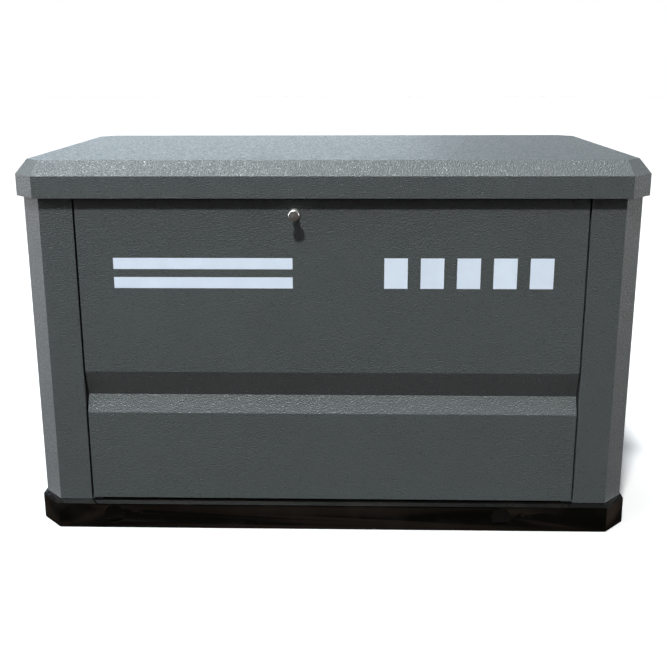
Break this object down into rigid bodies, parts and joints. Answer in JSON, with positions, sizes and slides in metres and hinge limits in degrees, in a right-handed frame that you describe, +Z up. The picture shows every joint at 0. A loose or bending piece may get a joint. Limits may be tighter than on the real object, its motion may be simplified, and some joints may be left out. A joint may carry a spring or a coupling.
{
  "type": "home standby generator",
  "caption": "Gas engine and alternator set in a chamfered steel enclosure with hinged lid, lift-off front panel, quarter-turn latch, louvred ends and a wide base tray.",
  "frame": {"origin": "middle of the footprint, on the ground", "axes": "+Z up, -Y towards the front with the removable panel and latch, X along the long side"},
  "size_m": [1.22, 0.675, 0.75],
  "materials": {
    "powder_coat": "fine textured",
    "gloss_black": "gloss",
    "nickel": "satin",
    "zinc": "zinc plated",
    "cast_aluminium": "as cast",
    "black_paint": "satin",
    "steel": "machined",
    "copper": "varnished windings and laminations",
    "exhaust_steel": "heat stained",
    "rubber": "matte",
    "foam": "open cell",
    "plastic": "fine grain",
    "red": "satin",
    "green": "satin",
    "grey": "satin",
    "brass": "turned"
  },
  "bodies": {
    "enclosure": {"base_tray": "gloss_black", "front_left_post": "powder_coat", "front_right_post": "powder_coat", "rear_left_post": "powder_coat", "rear_right_post": "powder_coat", "left_side_panel": "powder_coat", "right_side_panel": "powder_coat", "rear_panel": "powder_coat", "top_front_rail": "powder_coat", "hinge_body_leaf": "zinc", "hinge_pin": "steel", "engine_cradle": "black_paint", "vibration_mount_1": "rubber", "vibration_mount_2": "rubber", "vibration_mount_3": "rubber", "vibration_mount_4": "rubber", "crankcase": "cast_aluminium", "cylinder_front": "cast_aluminium", "cylinder_rear": "cast_aluminium", "rocker_cover_front": "black_paint", "rocker_cover_rear": "black_paint", "blower_housing": "black_paint", "alternator_stator": "black_paint", "alternator_end_bell": "cast_aluminium", "starter_motor": "steel", "gas_mixer": "cast_aluminium", "air_cleaner_base": "plastic", "air_cleaner_cover": "plastic", "oil_filter": "black_paint", "exhaust_manifold": "exhaust_steel", "muffler": "exhaust_steel", "heat_shield": "zinc", "gas_inlet_valve": "brass", "gas_regulator": "cast_aluminium", "gas_hose": "rubber", "battery": "plastic", "battery_cable_positive": "red", "battery_cable_negative": "rubber", "control_box": "powder_coat", "control_fascia": "plastic", "breaker_body": "plastic", "alternator_harness": "rubber"},
    "lid": {"lid": "powder_coat", "lid_foam": "foam", "hinge_lid_leaf": "zinc"},
    "prop_rod": {"lid_prop_rod": "zinc"},
    "front_panel": {"front_panel": "powder_coat", "latch_bush": "zinc"},
    "latch": {"latch_knob": "nickel", "latch_cam": "zinc"},
    "rotating_group": {"crankshaft": "steel", "flywheel_fan": "cast_aluminium", "alternator_rotor": "copper"},
    "dipstick": {"oil_dipstick": "red"},
    "throttle": {"throttle_lever": "zinc"},
    "gas_valve": {"gas_valve_lever": "red"},
    "button_auto": {"button_auto": "green"},
    "button_off": {"button_off": "grey"},
    "button_manual": {"button_manual": "red"},
    "breaker": {"breaker_lever": "grey"}
  },
  "joints": [
    {"name": "lid_hinge", "type": "hinge", "parent": "enclosure", "child": "lid", "pos_m": [0, 0.321, 0.672], "axis": [-1, 0, 0], "range_deg": [0, 70]},
    {"name": "prop_rod_hinge", "type": "hinge", "parent": "lid", "child": "prop_rod", "pos_m": [-0.565, 0.2, 0.708], "axis": [1, 0, 0], "range_deg": [0, 83.6]},
    {"name": "front_panel_lift_off", "type": "slide", "parent": "enclosure", "child": "front_panel", "axis": [0, -1, 0], "range_m": [0, 0.25]},
    {"name": "latch_turn", "type": "hinge", "parent": "front_panel", "child": "latch", "pos_m": [-0.068, -0.313, 0.649], "axis": [0, -1, 0], "range_deg": [0, 90]},
    {"name": "crankshaft_spin", "type": "hinge", "parent": "enclosure", "child": "rotating_group", "pos_m": [-0.215, 0.04, 0.238], "axis": [1, 0, 0], "continuous": true},
    {"name": "dipstick_pull", "type": "slide", "parent": "enclosure", "child": "dipstick", "axis": [0, -0.7071, 0.7071], "range_m": [0, 0.2]},
    {"name": "throttle_turn", "type": "hinge", "parent": "enclosure", "child": "throttle", "pos_m": [-0.215, 0.04, 0.519], "axis": [0, 1, 0], "range_deg": [0, 55]},
    {"name": "gas_valve_turn", "type": "hinge", "parent": "enclosure", "child": "gas_valve", "pos_m": [0.262, 0.193, 0.095], "axis": [0, 1, 0], "range_deg": [0, 90]},
    {"name": "button_auto_press", "type": "slide", "parent": "enclosure", "child": "button_auto", "axis": [0, 0.5274, -0.8496], "range_m": [0, 0.0015], "stiffness_N_per_m": 600},
    {"name": "button_off_press", "type": "slide", "parent": "enclosure", "child": "button_off", "axis": [0, 0.5274, -0.8496], "range_m": [0, 0.0015], "stiffness_N_per_m": 600},
    {"name": "button_manual_press", "type": "slide", "parent": "enclosure", "child": "button_manual", "axis": [0, 0.5274, -0.8496], "range_m": [0, 0.0015], "stiffness_N_per_m": 600},
    {"name": "breaker_throw", "type": "hinge", "parent": "enclosure", "child": "breaker", "pos_m": [0.253, -0.20145, 0.63463], "axis": [1, 0, 0], "range_deg": [0, 40]}
  ]
}
